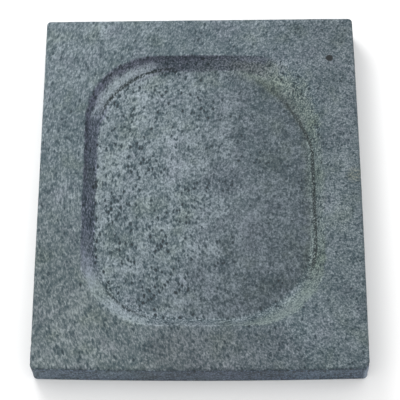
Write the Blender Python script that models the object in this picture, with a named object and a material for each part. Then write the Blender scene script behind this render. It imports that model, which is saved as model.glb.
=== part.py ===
"""Granite slab with a shallow, round-cornered well ground into its top face.

Frame: metres, +Z up, origin at the centre of the sawn underside.
+X runs across the slab's width and +Y along its length.
The slab is one piece of stone, so it is one object.
"""

import math

import bmesh
import bpy

# The block, as it is sawn.
SLAB_WIDTH = 0.250
SLAB_LENGTH = 0.300
SLAB_THICKNESS = 0.025
SLAB_CORNER_RADIUS = 0.0035
ARRIS = 0.0012

# The well, ground down from the top face. Its mouth is measured in the plane of the rim.
WELL_WIDTH = 0.185
WELL_LENGTH = 0.232
WELL_DEPTH = 0.010
WELL_CORNER_RADIUS = 0.054
WELL_SHIFT_X = 0.002
WELL_SHIFT_Y = 0.001

# The well's wall: how far it leans inwards on its way down, on the sides and in the corners.
WALL_RUN = 0.008
FLOOR_CORNER_RADIUS = 0.068
LIP_ROUNDING = 0.0012
FOOT_ROUNDING = 0.0025

# How finely the round parts are faceted.
CORNER_SEGMENTS = 16
ROUNDING_SEGMENTS = 3
SMOOTH_LIMIT = math.radians(35)

STONE_COLOR = (0.150, 0.186, 0.203, 1.0)
STONE_ROUGHNESS = 0.75


def remove_scene_objects():
    for old in list(bpy.data.objects):
        bpy.data.objects.remove(old, do_unlink=True)


def granite():
    """Sawn and ground granite: blue-grey, matt and not metallic."""
    material = bpy.data.materials.new("granite")
    material.use_nodes = True
    shader = material.node_tree.nodes["Principled BSDF"]
    shader.inputs["Base Color"].default_value = STONE_COLOR
    shader.inputs["Roughness"].default_value = STONE_ROUGHNESS
    shader.inputs["Metallic"].default_value = 0.0
    return material


def rounded_rectangle(half_x, half_y, radius, centre=(0.0, 0.0)):
    """Points of a rounded rectangle, anticlockwise from the +X side. Every outline has as many."""
    points = []
    for quarter in range(4):
        side_x = 1 if quarter in (0, 3) else -1
        side_y = 1 if quarter in (0, 1) else -1
        corner_x = centre[0] + side_x * (half_x - radius)
        corner_y = centre[1] + side_y * (half_y - radius)
        for step in range(CORNER_SEGMENTS + 1):
            angle = math.pi / 2 * (quarter + step / CORNER_SEGMENTS)
            points.append((corner_x + radius * math.cos(angle), corner_y + radius * math.sin(angle)))
    return points


def block_outline(inset):
    """The slab's outline, drawn in from its upright sides by the inset."""
    return rounded_rectangle(
        SLAB_WIDTH / 2 - inset,
        SLAB_LENGTH / 2 - inset,
        SLAB_CORNER_RADIUS - inset,
    )


def well_corner_radius(run):
    """The radius of the well's corners, moved in from its mouth by the run.

    It grows down the wall from the mouth's radius to the floor's. Past either end it changes
    by as much as the outline moves, so that the roundings there keep one width all round.
    """
    if run < 0.0:
        return WELL_CORNER_RADIUS - run
    if run > WALL_RUN:
        return FLOOR_CORNER_RADIUS - (run - WALL_RUN)
    return WELL_CORNER_RADIUS + (FLOOR_CORNER_RADIUS - WELL_CORNER_RADIUS) * run / WALL_RUN


def well_outline(run):
    """The well's outline, moved in from its mouth by the run."""
    return rounded_rectangle(
        WELL_WIDTH / 2 - run,
        WELL_LENGTH / 2 - run,
        well_corner_radius(run),
        (WELL_SHIFT_X, WELL_SHIFT_Y),
    )


def rounding_steps():
    """Shares of a rounding from its start to its end, both included."""
    return [step / ROUNDING_SEGMENTS for step in range(ROUNDING_SEGMENTS + 1)]


def wall_profile():
    """(run, height) pairs down the well's wall, from the rim to the floor.

    The wall is a straight slope. Where it meets the rim and the floor it is rounded by a
    quadratic curve, which starts one rounding away from the edge on either side of it.
    """
    slope = math.hypot(WALL_RUN, WELL_DEPTH)
    down_run = WALL_RUN / slope
    down_drop = WELL_DEPTH / slope
    rim = SLAB_THICKNESS
    floor = SLAB_THICKNESS - WELL_DEPTH
    lip = [
        (-LIP_ROUNDING, rim),
        (0.0, rim),
        (LIP_ROUNDING * down_run, rim - LIP_ROUNDING * down_drop),
    ]
    foot = [
        (WALL_RUN - FOOT_ROUNDING * down_run, floor + FOOT_ROUNDING * down_drop),
        (WALL_RUN, floor),
        (WALL_RUN + FOOT_ROUNDING, floor),
    ]
    profile = []
    for start, edge, end in (lip, foot):
        for share in rounding_steps():
            weights = ((1 - share) ** 2, 2 * share * (1 - share), share**2)
            run = weights[0] * start[0] + weights[1] * edge[0] + weights[2] * end[0]
            height = weights[0] * start[1] + weights[1] * edge[1] + weights[2] * end[1]
            profile.append((run, height))
    return profile


def slab_levels():
    """(outline, height) pairs over the whole surface, from the underside up and into the well."""
    levels = [
        (block_outline(ARRIS), 0.0),
        (block_outline(0.0), ARRIS),
        (block_outline(0.0), SLAB_THICKNESS - ARRIS),
        (block_outline(ARRIS), SLAB_THICKNESS),
    ]
    for run, height in wall_profile():
        levels.append((well_outline(run), height))
    return levels


def add_ring(shape, outline, height):
    """Adds one outline's vertices to the shape at a height."""
    return [shape.verts.new((x, y, height)) for x, y in outline]


def build_slab():
    shape = bmesh.new()
    rings = [add_ring(shape, outline, height) for outline, height in slab_levels()]
    for lower, upper in zip(rings, rings[1:]):
        for i in range(len(lower)):
            shape.faces.new((lower[i - 1], lower[i], upper[i], upper[i - 1]))
    shape.faces.new(rings[0])
    shape.faces.new(rings[-1])
    bmesh.ops.recalc_face_normals(shape, faces=shape.faces)
    mesh = bpy.data.meshes.new("granite_slab")
    shape.to_mesh(mesh)
    shape.free()
    mesh.materials.append(granite())
    mesh.shade_smooth()
    mesh.set_sharp_from_angle(angle=SMOOTH_LIMIT)
    slab = bpy.data.objects.new("granite_slab", mesh)
    bpy.context.scene.collection.objects.link(slab)
    return slab


remove_scene_objects()
build_slab()
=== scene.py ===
"""The granite slab's looks: one block of ground granite, a pale floor, soft light and a camera."""

import math

import bmesh
import bpy
from mathutils import Matrix, Vector


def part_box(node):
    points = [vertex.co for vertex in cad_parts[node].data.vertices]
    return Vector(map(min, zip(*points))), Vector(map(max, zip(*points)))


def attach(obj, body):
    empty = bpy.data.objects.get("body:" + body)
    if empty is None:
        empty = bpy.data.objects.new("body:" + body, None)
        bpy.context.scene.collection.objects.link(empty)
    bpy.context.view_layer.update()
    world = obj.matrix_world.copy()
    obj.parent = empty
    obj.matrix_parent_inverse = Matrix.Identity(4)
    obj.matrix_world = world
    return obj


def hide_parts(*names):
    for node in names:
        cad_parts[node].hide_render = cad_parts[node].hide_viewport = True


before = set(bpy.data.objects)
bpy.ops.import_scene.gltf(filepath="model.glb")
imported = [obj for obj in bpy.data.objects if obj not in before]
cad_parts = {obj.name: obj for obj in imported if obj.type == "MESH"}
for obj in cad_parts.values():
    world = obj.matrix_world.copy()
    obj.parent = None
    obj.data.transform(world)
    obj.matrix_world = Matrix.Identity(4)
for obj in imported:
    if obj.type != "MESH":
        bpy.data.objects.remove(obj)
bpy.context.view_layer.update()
slab_low, slab_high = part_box("granite_slab")

MM = 0.001

# The block, from the frame's box, with its sawn corners and ground arrises.
THICKNESS = slab_high.z - slab_low.z
HALF_WIDTH = (slab_high.x - slab_low.x) / 2
HALF_LENGTH = (slab_high.y - slab_low.y) / 2
CORNER_RADIUS = 3.5 * MM
ARRIS = 1.3 * MM

# The well. Its rims are what is left of the block round it.
RIM_SIDES = 32.5 * MM
RIM_ENDS = 34.8 * MM
WELL_CENTRE = Vector((2.2, 0.3, 0.0)) * MM
WELL_DEPTH = 10.0 * MM
MOUTH_RADIUS = 54.0 * MM
FLOOR_RADIUS = 68.0 * MM
WALL_RUN = 8.0 * MM
LIP_ROUNDING = 1.2 * MM
FOOT_ROUNDING = 2.5 * MM

# How many rings of faces each stretch of the section gets, from the underside's edge inwards.
ARRIS_RINGS = 3
SIDE_RINGS = 16
RIM_RINGS = 22
WALL_RINGS = 22
FLOOR_RINGS = 52

SEED = 7

# How many times to the metre each kind of wear comes: the lip's wander, the broad hollows and
# the tool's own marks.
WANDER_SCALE = 26.0
HOLLOW_SCALE = 22.0
MARK_SCALE = 230.0

# Noise seldom rises past this, so relief measured down from it wears stone away and adds none.
NOISE_PEAK = 0.8

# The way that the broken near right corner faces.
BREAK_FACING = Vector((0.80, -0.58, 0.16)).normalized()

# Multiplied by this, a vector keeps only its level part.
LEVEL = (1.0, 1.0, 0.0)


def srgb(hex_color):
    """A linear RGBA colour from an sRGB hex value."""
    channels = [int(hex_color[i : i + 2], 16) / 255 for i in (1, 3, 5)]
    linear = [c / 12.92 if c <= 0.04045 else ((c + 0.055) / 1.055) ** 2.4 for c in channels]
    return (*linear, 1.0)


def pick(sockets, key):
    """A socket by its number, or the first one in use that has this name."""
    if isinstance(key, int):
        return sockets[key]
    return next(s for s in sockets if s.name == key and s.enabled)


def add(tree, kind, links=None, output=None, **settings):
    """Adds a node with its settings, and its inputs as values or links. Returns its output socket."""
    node = tree.nodes.new(kind)
    for name, value in settings.items():
        setattr(node, name, value)
    for key, value in (links or {}).items():
        socket = pick(node.inputs, key)
        if isinstance(value, bpy.types.NodeSocket):
            tree.links.new(value, socket)
        else:
            socket.default_value = value
    if not node.outputs:
        return node
    return pick(node.outputs, output) if output else next(s for s in node.outputs if s.enabled)


def where(tree, *steps):
    """1 where every value has passed its high, 0 where any is short of its low, eased between."""
    share = 1.0
    for value, low, high in steps:
        step = add(
            tree,
            "ShaderNodeMapRange",
            {"Value": value, "From Min": low, "From Max": high},
            interpolation_type="SMOOTHSTEP",
        )
        share = add(tree, "ShaderNodeMath", {0: share, 1: step}, operation="MULTIPLY")
    return share


def weigh(tree, start, parts):
    """A start, plus each socket times its number or socket."""
    total = start
    for part, weight in parts:
        total = add(tree, "ShaderNodeMath", {0: part, 1: weight, 2: total}, operation="MULTIPLY_ADD")
    return total


# ---------------------------------------------------------------- the block's form


def outline(half_x, half_y, radius):
    """A rounded rectangle as one vector. Taking a width off all three moves it in by that width."""
    return Vector((half_x, half_y, radius))


def form_inputs():
    """The form tree's named inputs, with their values."""
    mouth = outline(HALF_WIDTH - RIM_SIDES, HALF_LENGTH - RIM_ENDS, MOUTH_RADIUS)
    floor = outline(mouth.x - WALL_RUN, mouth.y - WALL_RUN, FLOOR_RADIUS)
    half_columns = ARRIS_RINGS * 2 + SIDE_RINGS + RIM_RINGS + WALL_RINGS + FLOOR_RINGS
    floor_cell = (floor.x - FOOT_ROUNDING) / (FLOOR_RINGS - 0.5)
    spine_cells = round((floor.y - floor.x) / floor_cell)
    return {
        "Columns": ("NodeSocketInt", half_columns * 2),
        "Rows": ("NodeSocketInt", (half_columns + spine_cells) * 2),
        "Slab Outline": ("NodeSocketVector", outline(HALF_WIDTH, HALF_LENGTH, CORNER_RADIUS)),
        "Mouth Outline": ("NodeSocketVector", mouth),
        "Floor Outline": ("NodeSocketVector", floor),
        "Floor Spine": ("NodeSocketVector", outline(0.0, floor.y - floor.x, 0.0)),
        "Thickness": ("NodeSocketFloat", THICKNESS),
        "Arris": ("NodeSocketFloat", ARRIS),
        "Well Centre": ("NodeSocketVector", WELL_CENTRE),
        "Well Depth": ("NodeSocketFloat", WELL_DEPTH),
        "Wall Run": ("NodeSocketFloat", WALL_RUN),
        "Lip Rounding": ("NodeSocketFloat", LIP_ROUNDING),
        "Foot Rounding": ("NodeSocketFloat", FOOT_ROUNDING),
    }


def surface_inputs():
    """The surface tree's named inputs, with their values."""
    return {
        "Front Crown": ("NodeSocketFloat", 1.7 * MM),
        "Side Crown": ("NodeSocketFloat", 0.7 * MM),
        "Lip Wander": ("NodeSocketFloat", 1.4 * MM),
        "Unevenness": ("NodeSocketFloat", 0.5 * MM),
        "Tool Relief": ("NodeSocketFloat", 0.22 * MM),
        "Chip Depth": ("NodeSocketFloat", 1.1 * MM),
        "Chip Size": ("NodeSocketFloat", 6.0 * MM),
        "Groove Depth": ("NodeSocketFloat", 0.6 * MM),
        "Corner Cut": ("NodeSocketFloat", 0.8 * MM),
        "Corner Fill": ("NodeSocketFloat", 2.6 * MM),
        "Corner Break": ("NodeSocketFloat", 4.5 * MM),
        "Thickness": ("NodeSocketFloat", THICKNESS),
        "Slab Outline": ("NodeSocketVector", outline(HALF_WIDTH, HALF_LENGTH, CORNER_RADIUS)),
        "Seed": ("NodeSocketFloat", float(SEED)),
        "Stone": ("NodeSocketMaterial", None),
    }


def new_tree(name, inputs):
    """An empty geometry tree with these named inputs. Returns it and its input sockets by name."""
    tree = bpy.data.node_groups.new(name, "GeometryNodeTree")
    tree.interface.new_socket("Geometry", in_out="INPUT", socket_type="NodeSocketGeometry")
    tree.interface.new_socket("Geometry", in_out="OUTPUT", socket_type="NodeSocketGeometry")
    for label, (kind, _) in inputs.items():
        tree.interface.new_socket(label, in_out="INPUT", socket_type=kind)
    entry = tree.nodes.new("NodeGroupInput")
    return tree, {s.name: s for s in entry.outputs if s.name}


def form_tree(inputs):
    """Folds a flat grid over the block like a cloth, one ring of faces after another.

    Every ring is a rounded rectangle. Between the stations below, a ring's outline and its
    place are mixed from theirs. Inside the mouth the height follows the ground wall.
    """
    tree, given = new_tree("granite slab form", inputs)
    columns = add(tree, "ShaderNodeMath", {0: given["Columns"], 1: 1.0}, operation="SUBTRACT")
    rows = add(tree, "ShaderNodeMath", {0: given["Rows"], 1: 1.0}, operation="SUBTRACT")
    grid = add(
        tree,
        "GeometryNodeMeshGrid",
        {"Size X": columns, "Size Y": rows, "Vertices X": given["Columns"], "Vertices Y": given["Rows"]},
        output="Mesh",
    )
    flat = add(tree, "GeometryNodeInputPosition")
    across = add(tree, "ShaderNodeVectorMath", {0: flat}, operation="ABSOLUTE")
    extent = add(tree, "ShaderNodeCombineXYZ", {"X": columns, "Y": rows})
    half_extent = add(tree, "ShaderNodeVectorMath", {0: extent, "Scale": 0.5}, operation="SCALE")
    to_edge = add(tree, "ShaderNodeVectorMath", {0: half_extent, 1: across}, operation="SUBTRACT")
    edge = add(tree, "ShaderNodeSeparateXYZ", {0: to_edge}).node.outputs
    ring = add(tree, "ShaderNodeMath", {0: edge["X"], 1: edge["Y"]}, operation="MINIMUM")
    ring_extent = add(tree, "ShaderNodeVectorMath", {0: half_extent, 1: ring}, operation="SUBTRACT")
    on_ring = add(tree, "ShaderNodeVectorMath", {0: flat, 1: ring_extent}, operation="DIVIDE")

    arris, thickness = given["Arris"], given["Thickness"]
    top_edge = add(tree, "ShaderNodeMath", {0: thickness, 1: arris}, operation="SUBTRACT")
    eased = add(tree, "ShaderNodeVectorMath", {0: given["Slab Outline"], 1: arris}, operation="SUBTRACT")
    lip = add(
        tree, "ShaderNodeVectorMath", {0: given["Mouth Outline"], 1: given["Lip Rounding"]}, operation="ADD"
    )
    foot = add(
        tree,
        "ShaderNodeVectorMath",
        {0: given["Floor Outline"], 1: given["Foot Rounding"]},
        operation="SUBTRACT",
    )
    heights = {
        "underside": add(tree, "ShaderNodeCombineXYZ"),
        "side foot": add(tree, "ShaderNodeCombineXYZ", {"Z": arris}),
        "side top": add(tree, "ShaderNodeCombineXYZ", {"Z": top_edge}),
        "rim": add(tree, "ShaderNodeCombineXYZ", {"Z": thickness}),
    }
    well_place = add(
        tree, "ShaderNodeVectorMath", {0: heights["rim"], 1: given["Well Centre"]}, operation="ADD"
    )
    stations = [
        (ARRIS_RINGS, given["Slab Outline"], heights["side foot"]),
        (SIDE_RINGS, given["Slab Outline"], heights["side top"]),
        (ARRIS_RINGS, eased, heights["rim"]),
        (RIM_RINGS, lip, well_place),
        (WALL_RINGS, foot, well_place),
        (FLOOR_RINGS - 0.5, given["Floor Spine"], well_place),
    ]
    shape, place, start, shares = eased, heights["underside"], 0.0, []
    for rings, next_shape, next_place in stations:
        share = add(
            tree,
            "ShaderNodeMapRange",
            {"Value": ring, "From Min": start, "From Max": start + rings},
        )
        shape = add(
            tree, "ShaderNodeMix", {"Factor": share, "A": shape, "B": next_shape}, data_type="VECTOR"
        )
        place = add(
            tree, "ShaderNodeMix", {"Factor": share, "A": place, "B": next_place}, data_type="VECTOR"
        )
        shares.append(share)
        start += rings

    # A point on the ring's square goes to the rounded rectangle: what lies past the centres of
    # the corners is pulled back to one radius from them.
    parts = add(tree, "ShaderNodeSeparateXYZ", {0: shape}).node.outputs
    halves = add(tree, "ShaderNodeCombineXYZ", {"X": parts["X"], "Y": parts["Y"]})
    square = add(tree, "ShaderNodeVectorMath", {0: on_ring, 1: halves}, operation="MULTIPLY")
    core = add(tree, "ShaderNodeVectorMath", {0: halves, 1: parts["Z"]}, operation="SUBTRACT")
    minus_core = add(tree, "ShaderNodeVectorMath", {0: core, "Scale": -1.0}, operation="SCALE")
    above = add(tree, "ShaderNodeVectorMath", {0: square, 1: minus_core}, operation="MAXIMUM")
    nearest = add(tree, "ShaderNodeVectorMath", {0: above, 1: core}, operation="MINIMUM")
    outwards = add(tree, "ShaderNodeVectorMath", {0: square, 1: nearest}, operation="SUBTRACT")
    flatten = add(tree, "ShaderNodeVectorMath", {0: outwards, 1: LEVEL}, operation="MULTIPLY")
    direction = add(tree, "ShaderNodeVectorMath", {0: flatten}, operation="NORMALIZE")
    level_core = add(tree, "ShaderNodeVectorMath", {0: nearest, 1: LEVEL}, operation="MULTIPLY")
    rounded = add(
        tree,
        "ShaderNodeVectorMath",
        {0: direction, 1: parts["Z"], 2: level_core},
        operation="MULTIPLY_ADD",
    )

    # Down the wall: a straight slope, blended into the rim and the floor.
    lip_start = add(tree, "ShaderNodeMath", {0: given["Lip Rounding"], 1: -1.0}, operation="MULTIPLY")
    wall_end = add(
        tree, "ShaderNodeMath", {0: given["Wall Run"], 1: given["Foot Rounding"]}, operation="ADD"
    )
    run = add(
        tree, "ShaderNodeMapRange", {"Value": shares[4], "To Min": lip_start, "To Max": wall_end}
    )
    steepness = add(
        tree, "ShaderNodeMath", {0: given["Well Depth"], 1: given["Wall Run"]}, operation="DIVIDE"
    )
    slope = add(tree, "ShaderNodeMath", {0: run, 1: steepness}, operation="MULTIPLY")
    from_rim = add(
        tree, "ShaderNodeMath", {0: slope, 1: 0.0, 2: given["Lip Rounding"]}, operation="SMOOTH_MAX"
    )
    drop = add(
        tree,
        "ShaderNodeMath",
        {0: from_rim, 1: given["Well Depth"], 2: given["Foot Rounding"]},
        operation="SMOOTH_MIN",
    )
    lowered = add(tree, "ShaderNodeCombineXYZ", {"Z": drop})
    level = add(tree, "ShaderNodeVectorMath", {0: place, 1: lowered}, operation="SUBTRACT")
    position = add(tree, "ShaderNodeVectorMath", {0: rounded, 1: level}, operation="ADD")

    # How far inside the mouth a point lies is kept for the surface and for the stone's pattern.
    rim_width = add(
        tree, "ShaderNodeMapRange", {"Value": shares[3], "To Min": -RIM_SIDES, "To Max": lip_start}
    )
    inside = add(tree, "ShaderNodeMath", {0: shares[5], 1: 2 * RIM_SIDES}, operation="MULTIPLY")
    well_run = add(tree, "ShaderNodeMath", {0: run, 1: inside}, operation="ADD")
    on_rim = add(tree, "ShaderNodeMath", {0: shares[3], 1: 1.0}, operation="LESS_THAN")
    section = add(
        tree, "ShaderNodeMix", {"Factor": on_rim, "A": well_run, "B": rim_width}, data_type="FLOAT"
    )
    kept = add(
        tree,
        "GeometryNodeStoreNamedAttribute",
        {"Geometry": grid, "Name": "ring", "Value": ring},
        data_type="FLOAT",
    )
    kept = add(
        tree,
        "GeometryNodeStoreNamedAttribute",
        {"Geometry": kept, "Name": "well_run", "Value": section},
        data_type="FLOAT",
    )
    folded = add(tree, "GeometryNodeSetPosition", {"Geometry": kept, "Position": position})
    smooth = add(tree, "GeometryNodeSetShadeSmooth", {"Geometry": folded, "Shade Smooth": True})
    real = add(tree, "GeometryNodeRealizeInstances", {"Geometry": smooth})
    add(tree, "NodeGroupOutput", {"Geometry": real})
    return tree


def surface_tree(inputs):
    """Wears the clean form into ground stone: crowned edges, a wandering lip, hollows and chips."""
    tree, given = new_tree("ground stone surface", inputs)
    position = add(tree, "GeometryNodeInputPosition")
    normal = add(tree, "GeometryNodeInputNormal")
    ring = add(tree, "GeometryNodeInputNamedAttribute", {"Name": "ring"}, data_type="FLOAT")
    well_run = add(tree, "GeometryNodeInputNamedAttribute", {"Name": "well_run"}, data_type="FLOAT")
    place = add(tree, "ShaderNodeSeparateXYZ", {0: position}).node.outputs
    half = add(tree, "ShaderNodeSeparateXYZ", {0: given["Slab Outline"]}).node.outputs
    moves = []

    # The edges were ground by hand, so the front and the right side draw in towards their ends.
    for axis, other, inwards, crown, middle in (
        ("Y", "X", 1.0, "Front Crown", 25 * MM),
        ("X", "Y", -1.0, "Side Crown", 0.0),
    ):
        share = add(tree, "ShaderNodeMath", {0: place[other], 1: middle}, operation="SUBTRACT")
        share = add(tree, "ShaderNodeMath", {0: share, 1: half[other]}, operation="DIVIDE")
        bow = add(tree, "ShaderNodeMath", {0: share, 1: share}, operation="MULTIPLY")
        depth = add(tree, "ShaderNodeMath", {0: bow, 1: given[crown]}, operation="MULTIPLY")
        edge = add(tree, "ShaderNodeMath", {0: half[axis], 1: -inwards}, operation="MULTIPLY")
        near = where(tree, (place[axis], 0.0, edge))
        push = add(tree, "ShaderNodeMath", {0: depth, 1: near}, operation="MULTIPLY")
        push = add(tree, "ShaderNodeMath", {0: push, 1: inwards}, operation="MULTIPLY")
        moves.append(add(tree, "ShaderNodeCombineXYZ", {axis: push}))

    # The lip and the foot of the wall wander as the grinder did.
    wander = add(
        tree,
        "ShaderNodeTexNoise",
        {"Vector": position, "W": given["Seed"], "Scale": WANDER_SCALE, "Detail": 2.0},
        output="Color",
        noise_dimensions="4D",
    )
    wander = add(tree, "ShaderNodeVectorMath", {0: wander, 1: (0.5, 0.5, 0.5)}, operation="SUBTRACT")
    wander = add(tree, "ShaderNodeVectorMath", {0: wander, 1: LEVEL}, operation="MULTIPLY")
    wall_zone = where(tree, (well_run, -14 * MM, -2 * MM), (well_run, 26 * MM, 12 * MM))
    reach = add(tree, "ShaderNodeMath", {0: wall_zone, 1: given["Lip Wander"]}, operation="MULTIPLY")
    moves.append(add(tree, "ShaderNodeVectorMath", {0: wander, "Scale": reach}, operation="SCALE"))

    # Broad hollows, then the finer relief that the tool left.
    relief = []
    for scale, detail, amount in (
        (HOLLOW_SCALE, 1.0, "Unevenness"),
        (MARK_SCALE, 3.0, "Tool Relief"),
    ):
        noise = add(
            tree,
            "ShaderNodeTexNoise",
            {"Vector": position, "W": given["Seed"], "Scale": scale, "Detail": detail},
            output="Fac",
            noise_dimensions="4D",
        )
        below_peak = add(tree, "ShaderNodeMath", {0: noise, 1: NOISE_PEAK}, operation="SUBTRACT")
        relief.append((below_peak, given[amount]))

    # Chips along the arrises, most at the front: where coarse noise is high, stone has come away.
    edge_zones = []
    for edge_ring, width, strength in (
        (ARRIS_RINGS + SIDE_RINGS + ARRIS_RINGS / 2, 4.0, 1.0),
        (ARRIS_RINGS / 2, 3.0, 0.6),
    ):
        away = add(tree, "ShaderNodeMath", {0: ring, 1: edge_ring}, operation="SUBTRACT")
        away = add(tree, "ShaderNodeMath", {0: away}, operation="ABSOLUTE")
        edge_zones.append(weigh(tree, 0.0, [(where(tree, (away, width, 0.0)), strength)]))
    edge_zone = add(tree, "ShaderNodeMath", {0: edge_zones[0], 1: edge_zones[1]}, operation="MAXIMUM")
    chip_scale = add(tree, "ShaderNodeMath", {0: 1.0, 1: given["Chip Size"]}, operation="DIVIDE")
    chips = add(
        tree,
        "ShaderNodeTexNoise",
        {"Vector": position, "W": given["Seed"], "Scale": chip_scale, "Detail": 3.0, "Roughness": 0.6},
        output="Fac",
        noise_dimensions="4D",
    )
    chips = add(tree, "ShaderNodeMapRange", {"Value": chips, "From Min": 0.54, "From Max": 0.70})
    at_front = weigh(tree, 0.2, [(where(tree, (place["Y"], -120 * MM, -140 * MM)), 0.8)])
    for share in (edge_zone, given["Chip Depth"], at_front):
        chips = add(tree, "ShaderNodeMath", {0: chips, 1: share}, operation="MULTIPLY")
    relief.append((chips, -1.0))

    # The wall is cut steeper at the far left, and left fuller in two corners.
    corners = {
        name: add(
            tree,
            "ShaderNodeVectorMath",
            {0: position, 1: toward},
            output="Value",
            operation="DOT_PRODUCT",
        )
        for name, toward in (
            ("far left", (-1.0, 1.0, 0.0)),
            ("far right", (1.0, 1.0, 0.0)),
            ("near left", (-1.0, -1.0, 0.0)),
        )
    }
    fills = []
    for corner, amount, sign, start, peak, end in (
        ("far left", "Corner Cut", -1.0, 0.0, 3.5 * MM, 6.5 * MM),
        ("far right", "Corner Fill", 1.0, 1.0 * MM, 8.0 * MM, 17.0 * MM),
        ("near left", "Corner Fill", 1.0, 1.0 * MM, 8.0 * MM, 17.0 * MM),
    ):
        share = where(
            tree,
            (corners[corner], 100 * MM, 145 * MM),
            (well_run, start, peak),
            (well_run, end, peak),
        )
        fill = add(tree, "ShaderNodeMath", {0: share, 1: given[amount]}, operation="MULTIPLY")
        fills.append((fill, sign))
    moves.append(add(tree, "ShaderNodeCombineXYZ", {"Z": weigh(tree, 0.0, fills)}))

    # The edge of the wheel cut a groove near the foot of the wall: on the right, where it is
    # wide, and in the two left corners. It lies farther in at the far right, where the wall is
    # fuller.
    spread = where(tree, (corners["far right"], 118 * MM, 145 * MM))
    drawn_in = where(tree, (corners["far left"], 120 * MM, 150 * MM))
    groove_run = weigh(tree, well_run, [(spread, -7.0 * MM), (drawn_in, -0.7 * MM)])
    narrow_groove = ((groove_run, 5.4 * MM, 6.5 * MM), (groove_run, 7.7 * MM, 6.6 * MM))
    wide_groove = ((groove_run, 4.6 * MM, 6.2 * MM), (groove_run, 8.4 * MM, 6.5 * MM))
    right = where(
        tree,
        (place["X"], 46 * MM, 78 * MM),
        (place["Y"], -76 * MM, -54 * MM),
        (corners["far right"], 178 * MM, 124 * MM),
        *wide_groove,
    )
    far_left = where(
        tree,
        (corners["far left"], 122 * MM, 140 * MM),
        (place["Y"], 62 * MM, 80 * MM),
        *narrow_groove,
    )
    near_left = where(
        tree,
        (corners["near left"], 136 * MM, 150 * MM),
        (place["Y"], -76 * MM, -90 * MM),
        *narrow_groove,
    )
    groove = weigh(tree, 0.0, [(right, 0.9), (far_left, 0.8), (near_left, 0.42)])
    dug = add(tree, "ShaderNodeMath", {0: groove, 1: given["Groove Depth"]}, operation="MULTIPLY")
    relief.append((dug, -1.0))

    # The underside's edge stays flat.
    off_base = add(
        tree, "ShaderNodeMapRange", {"Value": ring, "From Min": ARRIS_RINGS, "From Max": ARRIS_RINGS + 2}
    )
    rise = add(
        tree, "ShaderNodeMath", {0: weigh(tree, 0.0, relief), 1: off_base}, operation="MULTIPLY"
    )
    offset = add(tree, "ShaderNodeVectorMath", {0: normal, "Scale": rise}, operation="SCALE")
    for move in moves:
        offset = add(tree, "ShaderNodeVectorMath", {0: offset, 1: move}, operation="ADD")
    entry = next(n for n in tree.nodes if n.bl_idname == "NodeGroupInput")
    kept = add(
        tree,
        "GeometryNodeStoreNamedAttribute",
        {"Geometry": entry.outputs["Geometry"], "Name": "groove", "Value": groove},
        data_type="FLOAT",
    )
    worn = add(tree, "GeometryNodeSetPosition", {"Geometry": kept, "Offset": offset})

    # The near right corner is knocked off: whatever stands past a slanting plane goes back to it.
    corner = add(
        tree, "ShaderNodeCombineXYZ", {"X": half["X"], "Y": half["Y"], "Z": given["Thickness"]}
    )
    corner = add(tree, "ShaderNodeVectorMath", {0: corner, 1: (1.0, -1.0, 1.0)}, operation="MULTIPLY")
    here = add(tree, "GeometryNodeInputPosition")
    from_corner = add(tree, "ShaderNodeVectorMath", {0: here, 1: corner}, operation="SUBTRACT")
    beyond = add(
        tree,
        "ShaderNodeVectorMath",
        {0: from_corner, 1: BREAK_FACING},
        output="Value",
        operation="DOT_PRODUCT",
    )
    beyond = add(tree, "ShaderNodeMath", {0: beyond, 1: given["Corner Break"]}, operation="ADD")
    beyond = add(tree, "ShaderNodeMath", {0: beyond, 1: 0.0}, operation="MAXIMUM")
    back = add(tree, "ShaderNodeMath", {0: beyond, 1: -1.0}, operation="MULTIPLY")
    cut = add(tree, "ShaderNodeVectorMath", {0: BREAK_FACING, "Scale": back}, operation="SCALE")
    broken = add(tree, "GeometryNodeSetPosition", {"Geometry": worn, "Offset": cut})
    real = add(tree, "GeometryNodeRealizeInstances", {"Geometry": broken})
    stone = add(tree, "GeometryNodeSetMaterial", {"Geometry": real, "Material": given["Stone"]})
    add(tree, "NodeGroupOutput", {"Geometry": stone})
    return tree


def use_tree(piece, tree, inputs):
    """Puts a geometry tree on a piece as a modifier, with its inputs set by identifier."""
    modifier = piece.modifiers.new(tree.name, "NODES")
    modifier.node_group = tree
    for item in tree.interface.items_tree:
        if item.item_type == "SOCKET" and item.in_out == "INPUT" and item.name in inputs:
            modifier[item.identifier] = inputs[item.name][1]


def build_slab(stone):
    """Evaluates the form and the surface into one plain, closed mesh."""
    cloth = bpy.data.objects.new("cloth", bpy.data.meshes.new("cloth"))
    bpy.context.scene.collection.objects.link(cloth)
    shape, wear = form_inputs(), surface_inputs()
    wear["Stone"] = (wear["Stone"][0], stone)
    use_tree(cloth, form_tree(shape), shape)
    use_tree(cloth, surface_tree(wear), wear)
    depsgraph = bpy.context.evaluated_depsgraph_get()
    mesh = bpy.data.meshes.new_from_object(cloth.evaluated_get(depsgraph), depsgraph=depsgraph)
    bpy.data.objects.remove(cloth, do_unlink=True)

    body = bmesh.new()
    body.from_mesh(mesh)
    open_edges = [e for e in body.edges if e.is_boundary]
    underside = bmesh.ops.contextual_create(body, geom=open_edges)["faces"]
    bmesh.ops.recalc_face_normals(body, faces=body.faces)
    for face in underside:
        face.smooth = False
    body.to_mesh(mesh)
    body.free()
    mesh.name = "granite_slab_stone"
    piece = bpy.data.objects.new("granite_slab_stone", mesh)
    bpy.context.scene.collection.objects.link(piece)
    return piece


# ---------------------------------------------------------------- the stone


# Sizes in the stone, in millimetres: its grains and crystals, the patches where one kind crowds
# together, the broad pale and dark patches, the raggedness of the edges between surfaces, and
# the patches of tint.
FINE_GRAIN = 1.1
COARSE_GRAIN = 2.6
CRYSTAL = 2.4
CLUSTER = 14.0
CLOUD = 36.0
RAGGED_EDGE = 7.0
TINT_PATCH = 24.0

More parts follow.
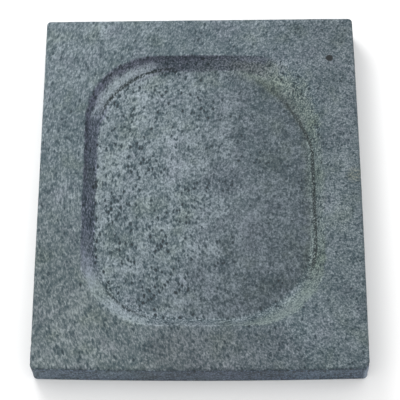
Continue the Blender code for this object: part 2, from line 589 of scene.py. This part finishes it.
# How much more often crystals come where they crowd, and how soft the limit between a cell
# with a crystal and one without is.
CROWDING = 0.35
CRYSTAL_FADE = 0.12

# The grinder swung in wide arcs round a point well past the right side. The grain and the
# crystals are drawn out along them.
SWING_REACH = 330.0
DRAG = 0.66

# Places on the slab, in millimetres, and the height that they are measured from: the dark
# inclusion, the rust, and the middles of the patches where mica crowds, where the stone is
# paler and where it is a little paler.
INCLUSION = (104.3, 112.4)
RUST = (120.0, 8.0)
MICA_PATCHES = ((-57.0, 72.0), (-72.0, -18.0), (-58.0, -50.0))
PALE_PATCHES = ((-47.0, 2.0), (7.0, -12.0), (-20.0, 56.0))
FAINT_PATCHES = ((102.0, -30.0), (-90.0, -98.0))
PATCH_HEIGHT = 20.0


def centred_noise(tree, place, size, detail, offset=(0.0, 0.0, 0.0)):
    """Noise of a size in millimetres, from about -1 to 1 and 0 on average."""
    moved = add(tree, "ShaderNodeVectorMath", {0: place, 1: offset}, operation="ADD")
    noise = add(
        tree,
        "ShaderNodeTexNoise",
        {"Vector": moved, "Scale": 1 / size, "Detail": detail, "Roughness": 0.55},
        output="Fac",
    )
    return weigh(tree, -2.0, [(noise, 4.0)])


def crystals(tree, place, size, share, crowd, offset):
    """Round-edged crystals in some of the cells, more of them where they crowd. 1 inside one."""
    moved = add(tree, "ShaderNodeVectorMath", {0: place, 1: offset}, operation="ADD")
    middle = add(tree, "ShaderNodeTexVoronoi", {"Vector": moved, "Scale": 1 / size}, output="Distance")
    lot = add(
        tree, "ShaderNodeSeparateColor", {"Color": middle.node.outputs["Color"]}, output="Red"
    )
    crowded = weigh(tree, lot, [(crowd, CROWDING)])
    return where(
        tree,
        (crowded, 1.0 - share - CRYSTAL_FADE, 1.0 - share + CRYSTAL_FADE),
        (middle, 0.72, 0.18),
    )


def granite():
    """Granite, ground with a coarse wheel: matt blue-grey, with dark and pale crystals.

    The grain is drawn out along the wheel's arcs. The floor's left and middle are less worn,
    so dark mica and pale feldspar stand out in patches. The wall carries painted shade on
    the left and at the far end, and painted light makes its far left slope and its near
    corners pale; they are also rubbed even. A dark line is painted in the groove at its foot.
    """
    material = bpy.data.materials.new("ground granite")
    material.use_nodes = True
    tree = material.node_tree
    shader = tree.nodes["Principled BSDF"]
    shader.inputs["IOR"].default_value = 1.54
    place = add(tree, "ShaderNodeTexCoord", output="Object")
    place = add(tree, "ShaderNodeVectorMath", {0: place, "Scale": 1 / MM}, operation="SCALE")
    x, y, z = add(tree, "ShaderNodeSeparateXYZ", {0: place}).node.outputs
    ring = add(tree, "ShaderNodeAttribute", output="Fac", attribute_name="ring")
    well_run = add(tree, "ShaderNodeAttribute", output="Fac", attribute_name="well_run")
    well_run = add(tree, "ShaderNodeMath", {0: well_run, 1: 1 / MM}, operation="MULTIPLY")
    groove = add(tree, "ShaderNodeAttribute", output="Fac", attribute_name="groove")

    # The pattern's own place: across the wheel's arcs, along them, and up.
    short_of = add(tree, "ShaderNodeMath", {0: SWING_REACH, 1: x}, operation="SUBTRACT")
    from_swing = add(tree, "ShaderNodeCombineXYZ", {"X": short_of, "Y": y})
    across = add(tree, "ShaderNodeVectorMath", {0: from_swing}, output="Value", operation="LENGTH")
    turned = add(tree, "ShaderNodeMath", {0: y, 1: short_of}, operation="ARCTAN2")
    along = add(tree, "ShaderNodeMath", {0: turned, 1: SWING_REACH * DRAG}, operation="MULTIPLY")
    arcs = add(tree, "ShaderNodeCombineXYZ", {"X": across, "Y": along, "Z": z})

    # Ruffled, so that the crystals' outlines are uneven.
    ruffle = add(tree, "ShaderNodeTexNoise", {"Vector": arcs, "Scale": 0.55}, output="Color")
    ruffled = add(
        tree, "ShaderNodeVectorMath", {0: ruffle, 1: (2.6, 2.6, 2.6), 2: arcs}, operation="MULTIPLY_ADD"
    )
    crowd = centred_noise(tree, place, CLUSTER, 2.0, (40.0, 0.0, 0.0))
    pale_crowd = centred_noise(tree, place, CLUSTER, 2.0, (0.0, 70.0, 0.0))
    cloud = centred_noise(tree, place, CLOUD, 2.0, (11.0, 5.0, 0.0))
    ragged = centred_noise(tree, place, RAGGED_EDGE, 2.0, (3.0, 9.0, 0.0))
    tint = centred_noise(tree, place, TINT_PATCH, 3.0, (90.0, 20.0, 0.0))
    away_from = {
        centre: add(
            tree,
            "ShaderNodeVectorMath",
            {0: place, 1: (*centre, PATCH_HEIGHT)},
            output="Value",
            operation="DISTANCE",
        )
        for centre in (INCLUSION, RUST, *MICA_PATCHES, *PALE_PATCHES, *FAINT_PATCHES)
    }
    crowd = weigh(
        tree, crowd, [(where(tree, (away_from[c], 15.0, 8.0)), 1.0) for c in MICA_PATCHES]
    )

    # Ways across the slab. What follows a ragged one gets a ragged edge, and what follows the
    # loose one gets the most ragged edge of all.
    ragged_run = weigh(tree, well_run, [(ragged, 0.8)])
    loose_run = weigh(tree, well_run, [(ragged, 3.0)])
    ragged_x = weigh(tree, x, [(cloud, 22.0), (crowd, 12.0)])
    ragged_y = weigh(tree, y, [(cloud, -18.0), (pale_crowd, 12.0)])
    far_left = weigh(tree, y, [(x, -1.0)])
    past_far_left = weigh(tree, y, [(x, -0.6)])
    far_right = weigh(tree, y, [(x, 1.0)])
    near_right = weigh(tree, x, [(y, -1.0)])
    near_left = weigh(tree, 0.0, [(x, -1.0), (y, -1.0)])

    # Stretches that more than one zone needs. A stretch is a value with its low and its high,
    # and the last two names hold several.
    on_rim = (well_run, 0.0, -2.0)
    up_to_lip = (well_run, 2.0, -2.0)
    past_lip = (ragged_run, -1.2, 0.6)
    past_foot = (ragged_run, 8.0, 11.0)
    on_front = (ring, 20.0, 19.0)
    at_front = (y, -120.0, -140.0)
    right_wall = ((y, -95.0, -60.0), (y, 64.0, 30.0), (loose_run, -3.5, 3.0), (loose_run, 16.0, 9.0))
    far_right_slope = ((loose_run, -0.5, 5.5), (loose_run, 17.0, 11.0))

    # Where each kind of surface is.
    in_floor = where(tree, (ragged_run, 7.0, 11.0))
    unworn = where(tree, (ragged_run, 7.0, 11.0), (ragged_x, 66.0, -30.0))
    on_wall = where(tree, (ragged_run, -1.0, 0.5), (ragged_run, 12.0, 8.0))
    right_side = where(tree, (x, -40.0, 110.0))
    front_face = where(tree, on_front, at_front)
    near_lip = where(tree, (y, -104.0, -110.0), (ragged_run, -0.6, 0.2), (ragged_run, 2.6, 1.0))
    slope_far_left = where(
        tree,
        (past_far_left, 100.0, 126.0),
        (x, -22.0, -48.0),
        (ragged_run, -0.4, 4.4),
        (ragged_run, 9.5, 7.5),
    )
    slope_near_left = where(
        tree,
        (near_left, 118.0, 146.0),
        (x, -28.0, -60.0),
        (ragged_run, -1.6, 1.6),
        (ragged_run, 7.0, 4.4),
    )
    slope_near_right = where(
        tree,
        (near_right, 138.0, 164.0),
        (y, -66.0, -92.0),
        (ragged_run, -0.9, 1.2),
        (ragged_run, 8.0, 3.0),
    )
    rubbed = weigh(
        tree, 0.0, [(slope_far_left, 0.3), (slope_near_left, 0.7), (slope_near_right, 0.85)]
    )

    # The painted shade on the walls is thin on the rubbed far left slope, where paler painted light lies.
    wall_shade_zone = (past_lip, (ragged_run, 10.0, 8.0), (slope_far_left, 1.2, 0.2))

    # The grain: fine and coarse grains, dark mica and pale feldspar.
    fine = centred_noise(tree, arcs, FINE_GRAIN, 3.0)
    coarse = centred_noise(tree, place, COARSE_GRAIN, 2.0, (0.0, 20.0, 30.0))
    mica = crystals(tree, ruffled, CRYSTAL, 0.31, crowd, (0.0, 0.0, 31.0))
    feldspar = crystals(tree, ruffled, CRYSTAL, 0.16, pale_crowd, (13.0, 0.0, 57.0))
    darkness = weigh(tree, -0.30, [(unworn, -0.26)])
    grain = weigh(tree, 0.0, [(fine, 0.32), (mica, darkness), (feldspar, 0.10)])

    # It stands out on the wall and the front, and is worn faint where the wall is rubbed.
    contrast = weigh(
        tree,
        0.84,
        [
            (unworn, 0.10),
            (in_floor, -0.10),
            (on_wall, 0.42),
            (rubbed, -0.8),
            (right_side, 0.1),
            (front_face, 0.5),
        ],
    )

    # Coarse grains and broad patches show more on the floor than on the rim.
    patches = weigh(tree, 0.045, [(in_floor, 0.045)])
    worn_in = weigh(tree, 0.05, [(in_floor, 0.09)])
    tone = weigh(
        tree,
        0.523,
        [
            (grain, contrast),
            (coarse, worn_in),
            (cloud, patches),
            (pale_crowd, patches),
            (unworn, 0.075),
            # The rim is paler at both left corners, and there are pale patches here and there.
            (where(tree, (far_left, 150.0, 240.0), on_rim), 0.05),
            (where(tree, (near_left, 150.0, 240.0), on_rim), 0.035),
            *((where(tree, (away_from[c], 15.0, 2.0)), 0.07) for c in PALE_PATCHES),
            *((where(tree, (away_from[c], 20.0, 4.0)), 0.05) for c in FAINT_PATCHES),
            # Painted light: the far left slope, the near corners and the near lip are made paler, as slopes
            # that face the light.
            (slope_far_left, 0.23),
            (slope_near_left, 0.19),
            (slope_near_right, 0.115),
            (near_lip, 0.08),
            # Paler too: the far right slope and both sides of the right groove.
            (where(tree, (far_right, 122.0, 150.0), *far_right_slope), 0.06),
            (where(tree, (x, 74.0, 84.0), *right_wall), 0.06),
        ],
    )

    color = add(tree, "ShaderNodeValToRGB", {"Fac": tone}, output="Color")
    stops = color.node.color_ramp.elements
    stops[0].position, stops[0].color = 0.1, srgb("#001620")
    stops[1].position, stops[1].color = 0.95, srgb("#9CA8AF")
    stops.new(0.3).color = srgb("#2A4049")
    stops.new(0.5).color = srgb("#4E5C62")

    # What the wheel, the grit and the weather left on it.
    for blend, stain, amount, zone in (
        # Patches lean a little green or a little purple.
        ("MULTIPLY", "#F7F9F1", 1.0, [(tint, 0.0, 0.8)]),
        ("MULTIPLY", "#F9F6FA", 1.0, [(tint, 0.0, -0.8)]),
        # The floor is darker on its right and its near side: partly the stone's own tone, partly painted
        # shade where the light falls off.
        ("MULTIPLY", "#D6D7DA", 1.0, [(ragged_x, -50.0, 80.0), past_foot]),
        ("MULTIPLY", "#EEEEF0", 1.0, [(ragged_y, -30.0, -90.0), (x, -80.0, -30.0), past_foot]),
        # Painted shade: the left and far walls, which face away from the light, are darkened and tinted
        # purple, darkest just below the lip.
        ("MULTIPLY", "#CFCCDD", 1.0, [(x, -66.0, -80.0), (y, -94.0, -44.0), *wall_shade_zone]),
        ("MULTIPLY", "#D6D1DD", 1.0, [(y, 88.0, 104.0), (x, 70.0, 44.0), *wall_shade_zone]),
        (
            "MULTIPLY",
            "#E2DFE6",
            1.0,
            [(far_left, 84.0, 100.0), (ragged_run, -1.4, 0.6), (ragged_run, 4.0, 1.4)],
        ),
        # The rim gets painted shade where the light falls off: a little darker at the far right
        # and down the right side. It is warmer at the near left, and dullest in the middle of the
        # near side.
        ("MULTIPLY", "#FAF8FA", 1.0, [(far_right, 70.0, 240.0), on_rim]),
        ("MULTIPLY", "#F4F3F2", 1.0, [(x, 60.0, 110.0), up_to_lip]),
        ("MULTIPLY", "#FFFBF5", 1.0, [(near_left, 60.0, 200.0), up_to_lip]),
        (
            "MULTIPLY",
            "#E8E4E6",
            1.0,
            [(y, -104.0, -125.0), (ragged_x, -60.0, -20.0), (ragged_x, 90.0, 50.0)],
        ),
        # Weathered green on the right wall and the near right corner, olive at the far right.
        ("MULTIPLY", "#E8ECE2", 1.0, [(x, 70.0, 80.0), *right_wall]),
        ("MULTIPLY", "#F0F2E2", 1.0, [(far_right, 120.0, 146.0), *far_right_slope]),
        ("MULTIPLY", "#F1F5EA", 1.0, [(near_right, 130.0, 155.0), past_lip, (ragged_run, 9.0, 4.0)]),
        # The groove is darkened: greyer across it, near black along its middle.
        ("MULTIPLY", "#A8B0B0", 1.0, [(groove, 0.0, 0.5), (fine, 1.0, -0.2)]),
        ("MIX", "#04161A", 0.9, [(groove, 0.2, 0.8), (fine, 0.4, -0.25)]),
        # The front: painted shade darkens and blues the sawn face, which lies under a dark, broken arris.
        ("MULTIPLY", "#C6D1E6", 1.0, [on_front, at_front]),
        ("MULTIPLY", "#EEF4F8", 1.0, [(ring, 16.0, 18.5), (ring, 23.0, 21.0), at_front]),
        (
            "MIX",
            "#101A1E",
            0.42,
            [(ring, 16.0, 18.5), (ring, 22.0, 20.0), at_front, (coarse, 0.5, -0.3)],
        ),
        # The broken corner shows fresh, pale stone.
        ("MIX", "#8793A0", 0.6, [(x, 120.0, 122.0), (y, -144.0, -147.0), (z, 21.0, 18.0)]),
        # One large dark inclusion, and a rust-tinged patch at the right edge.
        ("MIX", "#0A1418", 1.0, [(weigh(tree, away_from[INCLUSION], [(fine, 0.12)]), 5.85, 5.45)]),
        ("MIX", "#7A7A62", 0.4, [(away_from[RUST], 10.0, 5.0), (fine, -0.4, 0.5)]),
    ):
        factor = add(tree, "ShaderNodeMath", {0: where(tree, *zone), 1: amount}, operation="MULTIPLY")
        color = add(
            tree,
            "ShaderNodeMix",
            {"Factor": factor, "A": color, "B": srgb(stain)},
            output="Result",
            data_type="RGBA",
            blend_type=blend,
        )

    rough = weigh(tree, 0.8, [(mica, -0.12)])
    height = weigh(tree, 0.0, [(fine, 0.22), (mica, -0.2)])
    bump = add(
        tree, "ShaderNodeBump", {"Height": height, "Strength": 0.5, "Distance": 0.25 * MM}, output="Normal"
    )
    for name, socket in (("Base Color", color), ("Roughness", rough), ("Normal", bump)):
        tree.links.new(socket, shader.inputs[name])
    return material


# ---------------------------------------------------------------- floor, light and camera

CAMERA_TARGET = Vector((0.22, -12.6, 25.0)) * MM
CAMERA_DISTANCE = 1115.6 * MM
CAMERA_ELEVATION = math.radians(65.15)
CAMERA_TURN = math.radians(2.47)
CAMERA_ROLL = math.radians(-2.74)
CAMERA_LENS = 130.52

# The floor and the lights, in metres and watts.
FLOOR_SIZE = 12.0
SURROUND_STRENGTH = 1.04
SOFTBOX_PLACE = Vector((-0.45, 0.84, 0.68))
SOFTBOX_SIZE = 0.5
SOFTBOX_POWER = 6.6


def build_floor():
    """A pale floor, which carries on past every view."""
    bpy.ops.mesh.primitive_plane_add(size=FLOOR_SIZE)
    floor = bpy.context.object
    floor.name = "floor"
    paint = bpy.data.materials.new("white studio floor")
    paint.use_nodes = True
    shader = paint.node_tree.nodes["Principled BSDF"]
    shader.inputs["Base Color"].default_value = srgb("#F7F7F7")
    shader.inputs["Roughness"].default_value = 0.9
    shader.inputs["Specular IOR Level"].default_value = 0.1
    floor.data.materials.append(paint)


def build_light():
    """Soft light from all round, and a large softbox behind the slab's left that faces it."""
    world = bpy.data.worlds.new("studio")
    world.use_nodes = True
    background = world.node_tree.nodes["Background"]
    background.inputs["Color"].default_value = srgb("#FFFFFF")
    background.inputs["Strength"].default_value = SURROUND_STRENGTH
    bpy.context.scene.world = world
    light = bpy.data.lights.new("back_softbox", "AREA")
    light.size = SOFTBOX_SIZE
    light.energy = SOFTBOX_POWER
    softbox = bpy.data.objects.new("back_softbox", light)
    softbox.location = SOFTBOX_PLACE
    softbox.rotation_mode = "QUATERNION"
    softbox.rotation_quaternion = SOFTBOX_PLACE.to_track_quat("Z", "Y")
    bpy.context.scene.collection.objects.link(softbox)
    bpy.context.scene.view_settings.view_transform = "Standard"


def build_camera():
    """Looks down on the slab from its near end, a little turned and rolled."""
    turn = (
        Matrix.Rotation(CAMERA_TURN, 4, "Z")
        @ Matrix.Rotation(math.pi / 2 - CAMERA_ELEVATION, 4, "X")
        @ Matrix.Rotation(CAMERA_ROLL, 4, "Z")
    )
    camera = bpy.data.objects.new("camera", bpy.data.cameras.new("camera"))
    camera.data.lens = CAMERA_LENS
    back = Matrix.Translation((0.0, 0.0, CAMERA_DISTANCE))
    camera.matrix_world = Matrix.Translation(CAMERA_TARGET) @ turn @ back
    bpy.context.scene.collection.objects.link(camera)
    bpy.context.scene.camera = camera


build_camera()
slab = build_slab(granite())
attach(slab, "root")
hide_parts("granite_slab")
build_floor()
build_light()
